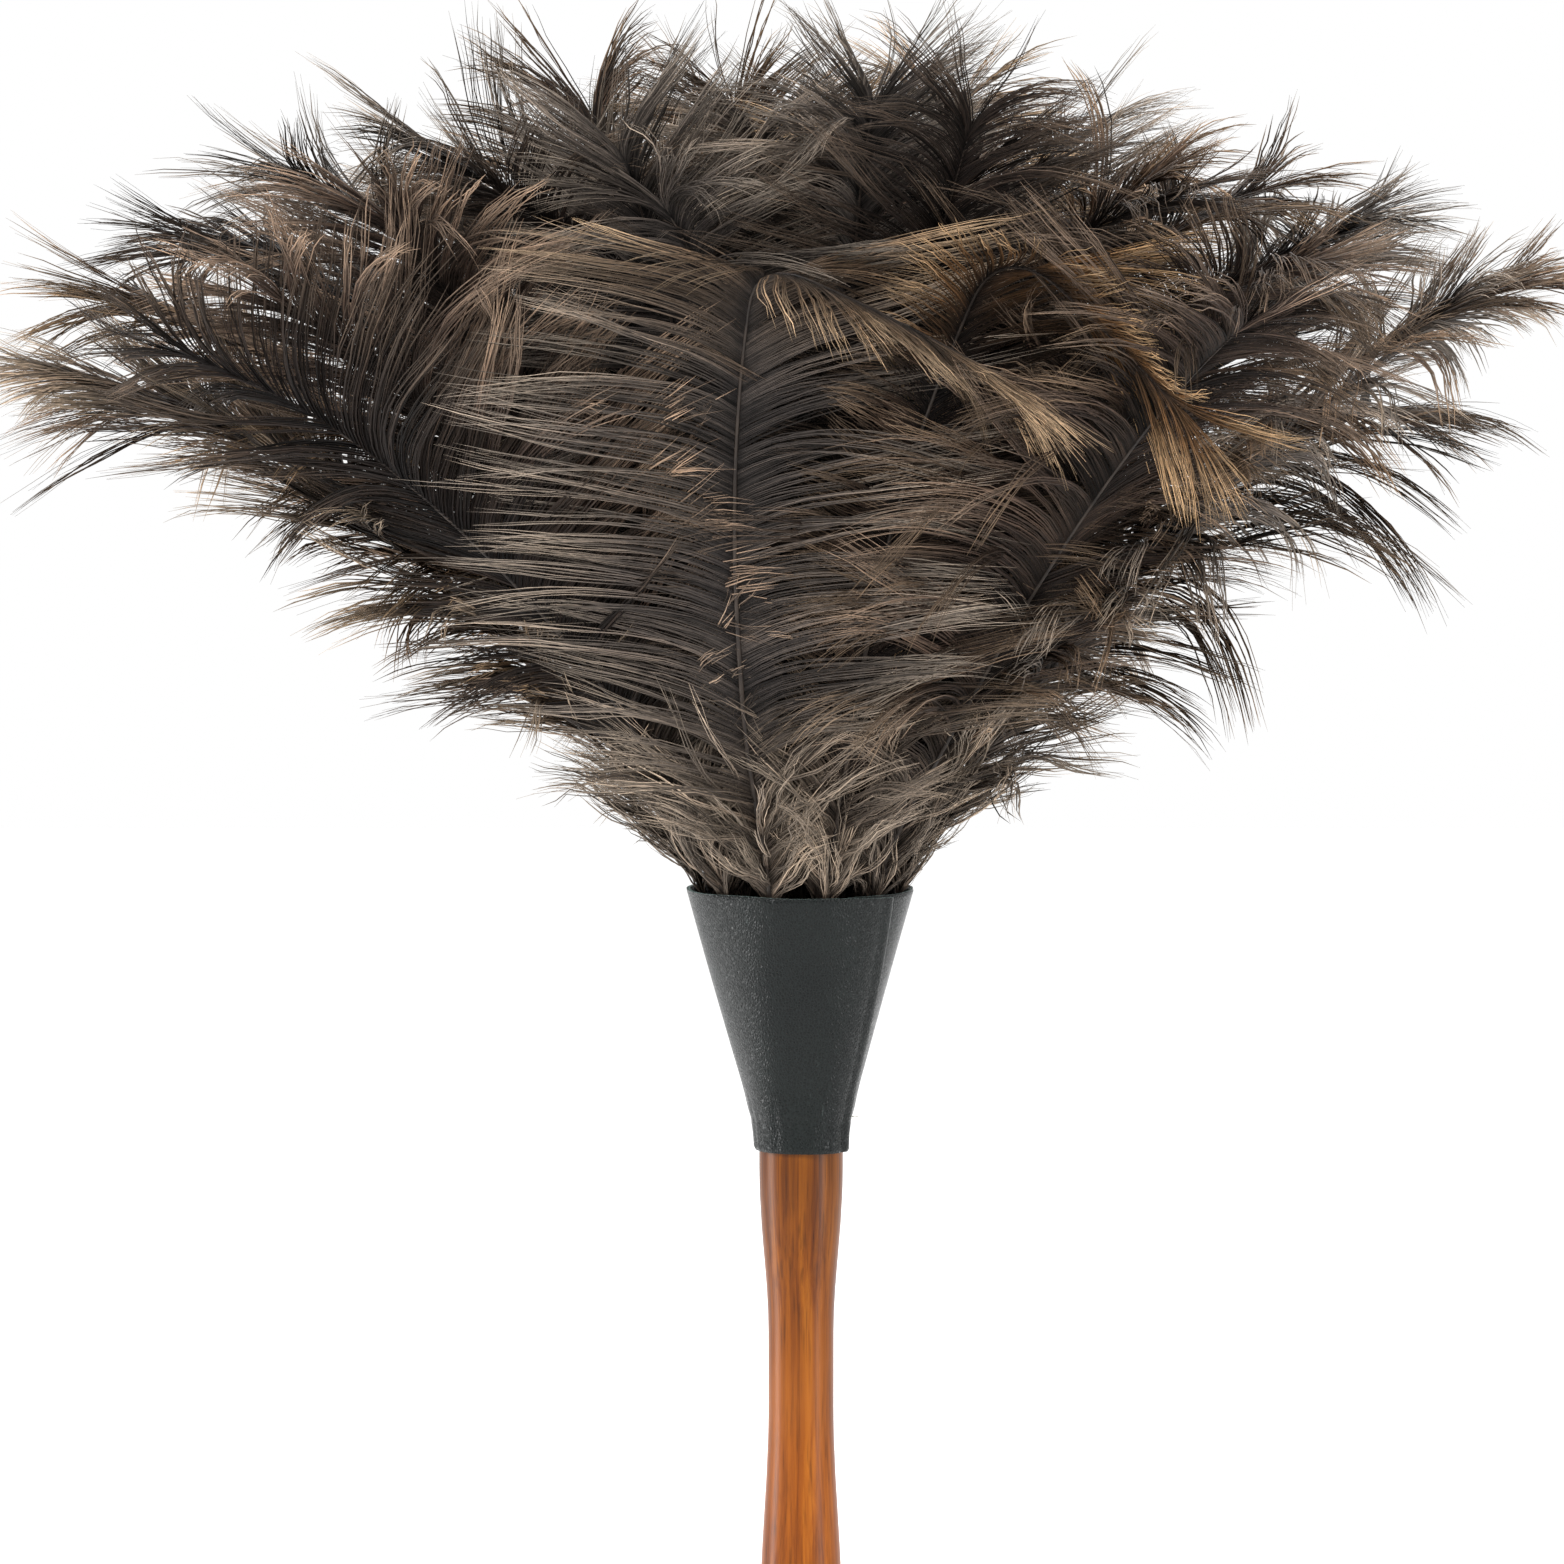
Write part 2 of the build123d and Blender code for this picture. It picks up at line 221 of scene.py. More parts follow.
# Plumes that lie unlike their neighbours.
SPECIAL = {
    # the middle one at the front: its face shows, and its end folds over to the right
    "feather_outer_01": {
        "curl": 84.0, "curl_from": 0.70, "curl_to": 0.82, "sway": 42.0, "veer": 62.0,
        "stray": -0.27, "length": 254 * MM, "fold": 4.0, "roll": 0.0, "arch": 20.0,
        "sag": 0.12, "tip_sag": 1.3, "crest": 1.0, "wrap": -0.02, "wander": 0.12,
        "ruffle": 0.15, "gather": 0.35, "tuft": 60, "tone": 0.0, "gold": 0.0,
        "tip_gold": 0.65, "angles": [34.0, 50.0, 62.0, 46.0, 40.0, 30.0],
        "lengths": [30 * MM, 56 * MM, 76 * MM, 82 * MM, 68 * MM, 46 * MM],
    },
    # the golden one behind its right side, bent over to the right
    "feather_outer_02": {
        "curl": 98.0, "curl_from": 0.72, "curl_to": 0.85, "sway": 38.0, "veer": 34.0,
        "stray": -0.14, "length": 256 * MM, "fold": -4.0, "roll": 20.0, "sag": 0.4,
        "tip_sag": 1.6, "crest": 1.0, "wrap": 0.2, "ruffle": 0.4, "gather": 0.5,
        "tuft": 60, "left": 0.42, "tone": 0.04, "gold": 0.1, "tip_gold": 0.85,
        "angles": [28.0, 40.0, 52.0, 44.0, 38.0, 30.0],
    },
    # the others at the front, close round the collar
    "feather_outer_03": {
        "curl": 12.0, "stray": -0.12, "fold": -8.0, "sag": 1.0, "wrap": 0.5, "tuft": 60,
        "gold": 0.0,
    },
    "feather_outer_11": {
        "curl": 6.0, "sway": -20.0, "fold": -6.0, "roll": -34.0, "sag": 0.3, "wrap": 0.6,
        "tuft": 60, "gold": 0.0,
        "lengths": [32 * MM, 42 * MM, 56 * MM, 74 * MM, 70 * MM, 44 * MM],
    },
    "feather_lower_01": {
        "curl": 20.0, "sway": -6.0, "stray": -0.30, "fold": -20.0, "roll": 10.0,
        "wrap": 0.8, "tuft": 60, "left": 0.6, "tone": -0.10, "gold": 0.0,
    },
    "feather_lower_02": {
        "curl": 14.0, "fold": -4.0, "sag": 1.1, "tip_sag": 1.4, "gold": 0.12,
    },
    "feather_lower_10": {
        "sway": -6.0, "stray": -0.28, "fold": -20.0, "roll": -20.0, "wrap": 0.8,
        "tuft": 60, "tone": -0.08, "gold": 0.0,
    },
    # the farthest ones at the left and the right
    "feather_outer_10": {
        "curl": 9.0, "sway": -4.0, "stray": -0.06, "length": 218 * MM, "fold": 0.0,
        "sag": 0.55, "gather": 0.4, "gold": 0.3,
        "lengths": [30 * MM, 42 * MM, 62 * MM, 82 * MM, 76 * MM, 44 * MM],
    },
    "feather_lower_09": {"curl": 6.0, "length": 212 * MM, "sag": 0.3},
    "feather_outer_04": {
        "curl": -8.0, "sway": 6.0, "stray": -0.15, "length": 214 * MM, "fold": 0.0,
        "sag": 0.9, "gather": 0.45, "angles": [28.0, 38.0, 50.0, 42.0, 26.0, 16.0],
    },
    "feather_lower_03": {
        "curl": 5.0, "sway": 2.0, "length": 234 * MM, "fold": 0.0, "sag": 0.6,
        "gather": 0.6, "gold": 0.15, "angles": [28.0, 38.0, 48.0, 38.0, 20.0, 12.0],
    },
    # the top: one dark upper left, tufts, and shorter ones between them
    "feather_upper_07": {
        "curl": 24.0, "stray": 0.05, "length": 226 * MM, "sag": 0.2, "tone": -0.20,
    },
    "feather_middle_08": {"length": 228 * MM, "tone": -0.14},
    "feather_inner_06": {"curl": 6.0, "sway": -30.0, "length": 216 * MM, "gold": 0.2},
    "feather_middle_01": {"length": 208 * MM, "tone": -0.14, "gold": 0.0},
    "feather_crown_02": {"tone": -0.10, "gold": 0.0},
    "feather_crown_04": {"curl": 30.0, "length": 190 * MM, "gold": 0.0},
    "feather_crown_05": {"curl": 34.0, "length": 188 * MM, "gold": 0.0},
    # ones that show between the front plumes, where nothing is golden
    "feather_middle_02": {"gold": 0.0},
    "feather_middle_09": {"gold": 0.0},
    "feather_upper_01": {"gold": 0.0},
    "feather_upper_02": {"gold": 0.0},
    "feather_upper_08": {"gold": 0.0},
    "feather_crown_01": {"gold": 0.0},
}


def srgb(red, green, blue):
    """A colour from 0 to 255 as the linear numbers that shaders take."""
    def line(value):
        value /= 255.0
        return value / 12.92 if value <= 0.04045 else ((value + 0.055) / 1.055) ** 2.4

    return (line(red), line(green), line(blue), 1.0)


# Each coat's colours: by the shaft, half way, at the tip, and golden. The dark colour by the shaft
# is partly the barbs' own and partly painted shade of the gaps among them.
COATS = {
    "plume_brown": (srgb(33, 27, 24), srgb(72, 60, 53), srgb(122, 105, 91), srgb(100, 75, 51)),
    "plume_grey": (srgb(42, 39, 38), srgb(84, 77, 72), srgb(132, 122, 112), srgb(105, 83, 60)),
    "plume_dark": (srgb(20, 16, 15), srgb(42, 35, 31), srgb(82, 71, 62), srgb(94, 69, 45)),
}

# Each light: name, place, the place it is aimed at, size and watts.
HEAD_CENTRE = (0.0, 0.0, 0.40)
COLLAR_CENTRE = (0.0, 0.0, 0.27)
LIGHTS = [
    ("key", (-0.9, -1.3, 1.5), HEAD_CENTRE, 0.8, 48.0),
    ("fill", (1.3, -1.0, 0.8), HEAD_CENTRE, 1.0, 12.0),
    ("back", (0.2, 1.2, 1.4), HEAD_CENTRE, 1.0, 22.0),
    ("left_edge", (-0.8, 0.02, 0.06), COLLAR_CENTRE, 0.26, 4.0),
    ("right_edge", (0.75, -0.42, 0.06), COLLAR_CENTRE, 0.22, 2.0),
]


def smooth(share):
    """An even rise from 0 to 1, on numbers or arrays."""
    share = np.clip(share, 0.0, 1.0)
    return share * share * (3.0 - 2.0 * share)


def hump(distance, width):
    """A soft hump: 1 at no distance, and next to nothing from twice the width on."""
    return np.exp(-((distance / width) ** 2))


def waves(angle, *rows):
    """A sum of sine waves of an angle, each one (height, rate, start)."""
    return sum(height * np.sin(rate * angle + start) for height, rate, start in rows)


def unit(vectors):
    """Vectors at length 1, along the last axis."""
    return vectors / np.maximum(np.linalg.norm(vectors, axis=-1, keepdims=True), 1e-9)


# --- materials --------------------------------------------------------------------------
class Paint:
    """A node material with one Principled shader, and short ways to add nodes to it."""

    def __init__(self, name, **constants):
        self.material = bpy.data.materials.new(name)
        self.material.use_nodes = True
        self.tree = self.material.node_tree
        self.tree.nodes.clear()
        self.shader = self.tree.nodes.new("ShaderNodeBsdfPrincipled")
        output = self.tree.nodes.new("ShaderNodeOutputMaterial")
        self.link(self.shader.outputs[0], output.inputs["Surface"])
        for socket, value in constants.items():
            self.shader.inputs[socket.replace("_", " ")].default_value = value

    def link(self, source, target):
        """Joins an output to an input."""
        self.tree.links.new(source, target)

    def add(self, kind, **settings):
        """A new node, its settings given by attribute or by input name."""
        node = self.tree.nodes.new("ShaderNode" + kind)
        for key, value in settings.items():
            if hasattr(node, key):
                setattr(node, key, value)
            else:
                node.inputs[key.replace("_", " ")].default_value = value
        return node

    def ramp(self, source, *stops):
        """A colour ramp of (place, colour) stops, driven by a socket; returns its colour."""
        node = self.add("ValToRGB")
        line = node.color_ramp
        line.elements[0].position, line.elements[0].color = stops[0]
        line.elements[1].position, line.elements[1].color = stops[-1]
        for place, colour in stops[1:-1]:
            line.elements.new(place).color = colour
        self.link(source, node.inputs[0])
        return node.outputs[0]

    def mix(self, way, share, first, second):
        """A colour mix node; share, first and second are sockets or values."""
        node = self.add("Mix", data_type="RGBA", blend_type=way)
        sockets = (node.inputs[0], node.inputs[6], node.inputs[7])
        for socket, value in zip(sockets, (share, first, second)):
            if isinstance(value, bpy.types.NodeSocket):
                self.link(value, socket)
            else:
                socket.default_value = value
        return node.outputs[2]

    def stretched(self, scale, turn=(0.0, 0.0, 0.0)):
        """Object coordinates, scaled differently along each axis."""
        sized = self.add("Mapping", Scale=scale, Rotation=turn)
        self.link(self.add("TexCoord").outputs["Object"], sized.inputs["Vector"])
        return sized.outputs["Vector"]

    def noise(self, stretch, turn=(0.0, 0.0, 0.0), **settings):
        """A noise texture's value, in stretched object coordinates."""
        node = self.add("TexNoise", **settings)
        self.link(self.stretched(stretch, turn), node.inputs["Vector"])
        return node.outputs["Fac"]

    def spread(self, source, low, high):
        """A value from 0 to 1 spread between low and high."""
        node = self.add("MapRange", To_Min=low, To_Max=high)
        self.link(source, node.inputs["Value"])
        return node.outputs[0]

    def drive(self, socket, source):
        """Lets an output set one of the shader's inputs."""
        self.link(source, self.shader.inputs[socket])

    def bump(self, height, strength, distance):
        """Adds a bump from a height socket to the shader."""
        node = self.add("Bump", Strength=strength, Distance=distance)
        self.link(height, node.inputs["Height"])
        self.drive("Normal", node.outputs[0])


EVEN = (1.0, 1.0, 1.0)


def tint(red, green, blue):
    """A multiplier colour."""
    return (red, green, blue, 1.0)


def grey(value):
    """A neutral multiplier colour."""
    return tint(value, value, value)


def plume_material(name, root, middle, tip, gold):
    """Barbs: darker by the shaft, partly as painted shade, paler to the tips, mottled, each a
    little different, with painted shade on the outer strands of each barb.
    """
    paint = Paint(name, Specular_IOR_Level=0.10)
    facts = paint.add("Attribute", attribute_name="barb")
    parts = paint.add("SeparateColor")
    paint.link(facts.outputs["Color"], parts.inputs[0])
    along, tone, down = parts.outputs
    # Darker by the shaft: partly the barbs' own colour, partly painted shade of the gaps among
    # them.
    base = paint.ramp(along, (0.0, root), (0.45, middle), (0.85, tip))
    golden = paint.ramp(along, (0.0, root), (0.5, gold), (1.0, srgb(182, 154, 120)))
    base = paint.mix("MIX", facts.outputs["Alpha"], base, golden)
    fluff = paint.ramp(along, (0.0, srgb(72, 63, 56)), (1.0, srgb(150, 137, 123)))
    base = paint.mix("MIX", down, base, fluff)
    # Each strand's tone sets how light it is: partly its own random tone, partly painted shade on
    # the outer strands of each barb.
    shade = paint.ramp(tone, (0.0, grey(0.14)), (0.5, grey(0.86)), (1.0, tint(2.2, 2.1, 1.98)))
    base = paint.mix("MULTIPLY", 1.0, base, shade)
    fine = paint.noise(EVEN, Scale=520.0, Detail=3.0, Roughness=0.65)
    flecks = paint.ramp(fine, (0.3, grey(0.74)), (0.72, tint(1.26, 1.24, 1.21)))
    base = paint.mix("MULTIPLY", 1.0, base, flecks)
    broad = paint.noise(EVEN, Scale=34.0, Detail=2.0)
    patches = paint.ramp(broad, (0.3, tint(0.80, 0.80, 0.82)), (0.7, tint(1.16, 1.14, 1.10)))
    paint.drive("Base Color", paint.mix("MULTIPLY", 1.0, base, patches))
    paint.drive("Roughness", paint.spread(fine, 0.55, 0.82))
    return paint.material


def shaft_material():
    """The shafts: dark horn, a little glossy, with streaks along it."""
    paint = Paint("plume_shaft", Specular_IOR_Level=0.2)
    streaks = paint.noise((4, 4, 0.6), Scale=90.0, Detail=4.0)
    colour = paint.ramp(streaks, (0.3, srgb(18, 14, 12)), (0.7, srgb(50, 42, 36)))
    paint.drive("Base Color", colour)
    paint.drive("Roughness", paint.spread(streaks, 0.40, 0.58))
    return paint.material


def wood_material():
    """Lacquered orange-brown wood: straight grain, dark streaks, pores, a paler patch, and painted
    shade below the collar.
    """
    paint = Paint(
        "handle_wood", Specular_IOR_Level=0.12, Coat_Weight=0.025, Coat_Roughness=0.22
    )
    grain = paint.noise((330, 330, 5), Scale=1.0, Detail=8.0, Roughness=0.66, Distortion=0.3)
    broad = paint.noise((62, 62, 2), Scale=1.0, Detail=3.0, Distortion=0.8)
    pores = paint.noise((1700, 1700, 70), Scale=1.0, Detail=2.0)
    clouds = paint.noise((40, 40, 14), Scale=1.0, Detail=2.0)
    lines = paint.noise((190, 190, 2), Scale=1.0, Detail=2.0, Distortion=0.2)
    base = paint.ramp(
        grain,
        (0.26, srgb(58, 25, 5)), (0.42, srgb(98, 48, 9)),
        (0.58, srgb(128, 68, 12)), (0.76, srgb(158, 94, 24)),
    )
    streak = paint.ramp(
        broad, (0.30, tint(0.62, 0.52, 0.44)), (0.44, grey(0.96)), (0.72, tint(1.14, 1.12, 1.08))
    )
    thin = paint.ramp(
        lines, (0.47, grey(1.0)), (0.50, tint(0.62, 0.52, 0.46)), (0.53, grey(1.0))
    )
    base = paint.mix("MULTIPLY", 1.0, base, paint.mix("MULTIPLY", 0.75, streak, thin))
    pitted = paint.ramp(pores, (0.30, grey(0.55)), (0.46, grey(1.0)))
    base = paint.mix("MULTIPLY", 0.8, base, pitted)
    pale = paint.ramp(clouds, (0.52, grey(0.0)), (0.70, grey(0.55)))
    base = paint.mix("MIX", pale, base, srgb(138, 78, 26))
    # Painted shade under the collar: the wood darker and greyer from 0.15 m up to 0.22 m.
    place = paint.add("SeparateXYZ")
    paint.link(paint.stretched(EVEN), place.inputs[0])
    shade = paint.ramp(place.outputs["Z"], (0.15, grey(1.0)), (0.22, tint(0.64, 0.70, 0.66)))
    paint.drive("Base Color", paint.mix("MULTIPLY", 1.0, base, shade))
    paint.drive("Roughness", paint.spread(grain, 0.24, 0.46))
    paint.bump(pores, 0.25, 0.00006)
    return paint.material


def leather_material():
    """Smooth near-black green leather: fine grain, scuffs and faint clouding."""
    paint = Paint("collar_leather", Specular_IOR_Level=0.14)
    cells = paint.add("TexVoronoi", feature="DISTANCE_TO_EDGE", Scale=1500.0)
    paint.link(paint.stretched((1, 1, 0.8)), cells.inputs["Vector"])
    edges = cells.outputs["Distance"]
    fine = paint.noise(EVEN, Scale=1100.0, Detail=4.0, Roughness=0.7)
    cloud = paint.noise((1, 1, 0.5), Scale=55.0, Detail=3.0)
    scratch = paint.noise((900, 900, 90), (0.0, 0.35, 0.2), Scale=1.0, Detail=3.0)
    base = paint.ramp(cloud, (0.3, srgb(2, 4, 4)), (0.7, srgb(10, 14, 13)))
    worn = paint.ramp(scratch, (0.70, grey(0.0)), (0.80, grey(0.5)))
    base = paint.mix("MIX", worn, base, srgb(70, 78, 76))
    speckle = paint.ramp(fine, (0.3, grey(0.6)), (0.7, grey(1.35)))
    base = paint.mix("MULTIPLY", 0.7, base, speckle)
    creases = paint.ramp(edges, (0.02, grey(0.16)), (0.14, grey(0.0)))
    paint.drive("Base Color", paint.mix("MIX", creases, base, srgb(44, 50, 50)))
    cloudy, grainy = paint.spread(cloud, 0.18, 0.34), paint.spread(fine, 0.16, 0.42)
    paint.drive("Roughness", paint.mix("MIX", 0.5, cloudy, grainy))
    paint.bump(paint.mix("MULTIPLY", 0.6, edges, fine), 0.8, 0.00045)
    return paint.material


def cut_edge_material():
    """The leather's cut edge: paler, greenish and fibrous."""
    paint = Paint("leather_cut_edge")
    fibres = paint.noise((1, 1, 3), Scale=1600.0, Detail=4.0)
    colour = paint.ramp(fibres, (0.3, srgb(52, 70, 68)), (0.7, srgb(128, 150, 146)))
    paint.drive("Base Color", colour)
    paint.drive("Roughness", paint.spread(fibres, 0.6, 0.9))
    paint.bump(fibres, 0.6, 0.0002)
    return paint.material


def cord_material(name, dark, pale):
    """Twisted thread or cord."""
    paint = Paint(name)
    twist = paint.add(
        "TexWave", wave_type="BANDS", bands_direction="DIAGONAL", Scale=420.0, Distortion=1.5
    )
    paint.link(paint.stretched((1, 1, 2)), twist.inputs["Vector"])
    fuzz = paint.noise(EVEN, Scale=2400.0, Detail=3.0)
    base = paint.ramp(twist.outputs["Fac"], (0.1, dark), (0.9, pale))
    worn = paint.ramp(fuzz, (0.3, grey(0.7)), (0.7, grey(1.2)))
    paint.drive("Base Color", paint.mix("MULTIPLY", 0.6, base, worn))
    paint.drive("Roughness", paint.spread(fuzz, 0.55, 0.9))
    paint.bump(twist.outputs["Fac"], 0.5, 0.0002)
    return paint.material


def floor_material():
    """Matt white."""
    return Paint("floor_white", Base_Color=(1.0, 1.0, 1.0, 1.0), Roughness=1.0).material


# --- meshes and pieces ------------------------------------------------------------------
def build_mesh(name, points, quads, triangles, kinds):
    """A mesh from arrays of points, four- and three-sided faces, and each face's material."""
    mesh = bpy.data.meshes.new(name)
    corners = np.concatenate([quads.ravel(), triangles.ravel()])
    three_sided = len(quads) * 4 + np.arange(len(triangles)) * 3
    starts = np.concatenate([np.arange(len(quads)) * 4, three_sided])
    mesh.vertices.add(len(points))
    mesh.vertices.foreach_set("co", points.astype(np.float32).ravel())
    mesh.loops.add(len(corners))
    mesh.loops.foreach_set("vertex_index", corners.astype(np.int32))
    mesh.polygons.add(len(starts))
    mesh.polygons.foreach_set("loop_start", starts.astype(np.int32))
    mesh.update(calc_edges=True)
    mesh.shade_smooth()
    mesh.polygons.foreach_set("material_index", kinds.astype(np.int32))
    return mesh


def join(*parts):
    """Parts of (points, quads, triangles), the first in material 0 and the others in 1."""
    shifts = np.cumsum([0] + [len(points) for points, _, _ in parts])
    points = np.concatenate([part[0] for part in parts])
    quads = np.concatenate([part[1] + shift for part, shift in zip(parts, shifts)])
    triangles = np.concatenate([part[2] + shift for part, shift in zip(parts, shifts)])
    kinds = [
        np.full(len(part[face]), int(i > 0)) for face in (1, 2) for i, part in enumerate(parts)
    ]
    return points, quads, triangles, np.concatenate(kinds)


def add_piece(name, mesh, replaced, slot, *materials):
    """Puts a mesh in the scene as a piece that stands for a CAD node."""
    piece = bpy.data.objects.new(name, mesh)
    bpy.context.scene.collection.objects.link(piece)
    for material in materials:
        mesh.materials.append(material)
    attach(piece, "root")
    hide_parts(replaced)


def strips(loops, size):
    """Corners a and b of the faces between closed loops of points that follow each other."""
    start = (np.arange(loops - 1) * size)[:, None]
    return start + np.arange(size)[None], start + (np.arange(size)[None] + 1) % size


def tube(route, radii, sides):
    """A closed tube along points: (points, quads, cap triangles)."""
    route = np.asarray(route, float)
    heading = unit(np.gradient(route, axis=0))
    guide = np.array([0.31, 0.17, 0.93])
    first = unit(np.cross(heading, guide))
    second = np.cross(heading, first)
    angles = (np.arange(sides) * math.tau / sides)[None, :, None]
    around = np.cos(angles) * first[:, None] + np.sin(angles) * second[:, None]
    points = route[:, None] + around * np.asarray(radii, float)[:, None, None]
    a, b = strips(len(route), sides)
    quads = np.stack([a, b, b + sides, a + sides], -1).reshape(-1, 4)
    fan = np.array([[0, k + 1, k] for k in range(1, sides - 1)])
    caps = np.concatenate([fan, fan[:, ::-1] + (len(route) - 1) * sides])
    return points.reshape(-1, 3), quads, caps


# --- the collar and its seam ------------------------------------------------------------
def collar_radius(height):
    """Outer radius of the collar's single layer, before its folds."""
    share = np.clip((height - SEAT_TOP) / (MOUTH_HEIGHT - SEAT_TOP), 0, 1)
    return FOOT_RADIUS + share * (MOUTH_RADIUS - FOOT_RADIUS)


def seam_angle(height):
    """Direction of the leather's outer end at a height."""
    share = (height - COLLAR_FOOT) / (MOUTH_HEIGHT - COLLAR_FOOT)
    return SEAM_FOOT_ANGLE + share * (SEAM_TOP_ANGLE - SEAM_FOOT_ANGLE)


def leather_shift(turn, height, lap):
    """How far the leather stands off its plain cone: dents, puckers and the lifted lap."""
    angle = np.radians(turn)
    up = (height - COLLAR_FOOT) / (MOUTH_HEIGHT - COLLAR_FOOT)
    past_seat = height - SEAT_TOP
    dents = waves(angle, (0.45 * MM, 2, 1.1 + 1.6 * up), (0.32 * MM, 5, 0.4 - 2.3 * up))
    dents = dents * smooth(up / 0.25)
    folds = 3.0 * np.sin(2 * angle), 4.0 * np.sin(angle)
    puckers = waves(angle, (0.05 * MM, 17, folds[0]), (0.03 * MM, 29, folds[1]))
    puckers = puckers * (1.0 - smooth((past_seat - 1.5 * MM) / PUCKER_BAND))
    bend = SEAT_BEND * hump(past_seat - 0.5 * MM, SEAT_BEND_WIDTH)
    lifted = LAP_LIFT * smooth((lap - 1.0 + LAP_SHARE) / LAP_SHARE) * (0.4 + 0.6 * up)
    return dents + puckers + bend + lifted + LEATHER_EASE


def make_collar(leather, cut_edge):
    """The leather sheet wrapped into a cone, with rounded edges and a lapped seam."""
    rows = np.linspace(0, 1, COLLAR_ROWS)
    columns = np.linspace(0, 1, COLLAR_COLUMNS)
    across, up = np.meshgrid(columns, rows, indexing="ij")
    rim = waves(across, (0.22 * MM, 17.0, 0.0), (0.12 * MM, 41.0, 1.0)) - RIM_DROP
    height = COLLAR_FOOT + up * (MOUTH_HEIGHT + rim * smooth((up - 0.8) / 0.2) - COLLAR_FOOT)
    wrapped = across * (360.0 + SEAM_OVERLAP)
    turn = seam_angle(height) - SEAM_OVERLAP + wrapped
    climb = smooth((wrapped - (360.0 - SEAM_CLIMB)) / SEAM_CLIMB)
    radius = collar_radius(height) + climb * (LEATHER + LEATHER_GAP)
    radius = radius + leather_shift(turn, height, across)
    from_end = (1.0 - across) * math.tau * radius
    radius = radius - STITCH_DEPTH * hump(from_end - STITCH_INSET, STITCH_WIDTH)
    from_edge = np.minimum(height - COLLAR_FOOT, MOUTH_HEIGHT - RIM_DROP - height)
    nearest = np.minimum(np.maximum(from_edge, 0.0), from_end)
    inset = np.maximum(EDGE_ROUND - nearest, 0)
    rounding = EDGE_ROUND - np.sqrt(np.maximum(EDGE_ROUND**2 - inset**2, 0))
    outer = radius - rounding
    inner = radius - LEATHER + EDGE_ROUND_INSIDE * rounding
    angle = np.radians(turn)

    def place(reach):
        return np.stack([reach * np.cos(angle), reach * np.sin(angle), height], -1)

    sheets = np.concatenate([place(outer), place(inner)[:, ::-1]], 1)
    loop = sheets.shape[1]
    a, b = strips(COLLAR_COLUMNS, loop)
    quads = np.stack([a, a + loop, b + loop, b], -1).reshape(-1, 4)
    side = np.arange(COLLAR_ROWS - 1)
    start = np.stack([side, side + 1, loop - 2 - side, loop - 1 - side], 1)
    end = start[:, ::-1] + (COLLAR_COLUMNS - 1) * loop
    row_of = np.tile(np.arange(loop), COLLAR_COLUMNS - 1)
    on_rim = (row_of == COLLAR_ROWS - 1) | (row_of == loop - 1)
    kinds = np.concatenate([on_rim, np.ones(len(start) + len(end))])
    faces = np.concatenate([quads, start, end])
    no_triangles = np.empty((0, 3), int)
    mesh = build_mesh("collar_leather", sheets.reshape(-1, 3), faces, no_triangles, kinds)
    mesh.set_sharp_from_angle(angle=math.radians(SHARP_ANGLE))
    add_piece("collar_leather", mesh, "collar", "collar_leather", leather, cut_edge)


def seam_corner(height, out):
    """A point in the corner between the seam's edge and the layer under it."""
    radius = collar_radius(height) + out
    turn = math.radians(seam_angle(height)) + out / radius
    return (radius * math.cos(turn), radius * math.sin(turn), height)


def make_seam_thread(dark_thread, pale_thread):
    """The thread lying along the seam's edge, and its frayed pale end at the foot."""
    clear = THREAD_RADIUS + THREAD_CLEAR
    heights = np.linspace(SEAT_TOP + 1.0 * MM, MOUTH_HEIGHT - 1.2 * MM, THREAD_POINTS)
    beads = THREAD_RADIUS * (1.0 + 0.12 * np.sin(np.arange(THREAD_POINTS) * 1.9))
    parts = [tube([seam_corner(z, clear) for z in heights], beads, THREAD_SIDES)]
    foot = np.array(seam_corner(SEAT_TOP + 0.8 * MM, clear + WISP_OUT))
    share = np.linspace(0, 1, WISP_POINTS)
    radii = np.linspace(0.16, 0.05, WISP_POINTS) * MM
    chance = random.Random(WISP_SEED)
    for i in range(WISPS):
        reach = chance.uniform(2.4, 4.4) * MM
        rise = chance.uniform(-0.5, 0.9) * MM
        sideways = 0.2 * MM * np.sin(share * 9.0 + i) - share * reach
        wisp = np.stack([sideways, -0.9 * MM * np.sin(share * 2.2), rise * share**1.5], 1)
        parts.append(tube(foot[None] + wisp, radii, WISP_SIDES))
    mesh = build_mesh("seam_thread", *join(*parts))
    add_piece("seam_stitching", mesh, "seam_thread", "seam_thread", dark_thread, pale_thread)


# --- plumes -----------------------------------------------------------------------------
def turn_between(direction, centre):
    """Degrees from one direction round the handle to another, from -180 to 180."""
    return (direction - centre + 180.0) % 360.0 - 180.0


def spread_at(direction):
    """How far the head opens in a direction, as a share of its widest."""
    front = FRONT_LIFT * hump(turn_between(direction, FRONT_ANGLE), FRONT_WIDTH)
    return 1.0 - front - BACK_LIFT * hump(turn_between(direction, BACK_ANGLE), BACK_WIDTH)


def curled_share(plume, share):
    """How far the shaft has curled over at a share of its length, from 0 to 1."""
    return smooth((share - plume["curl_from"]) / (plume["curl_to"] - plume["curl_from"]))


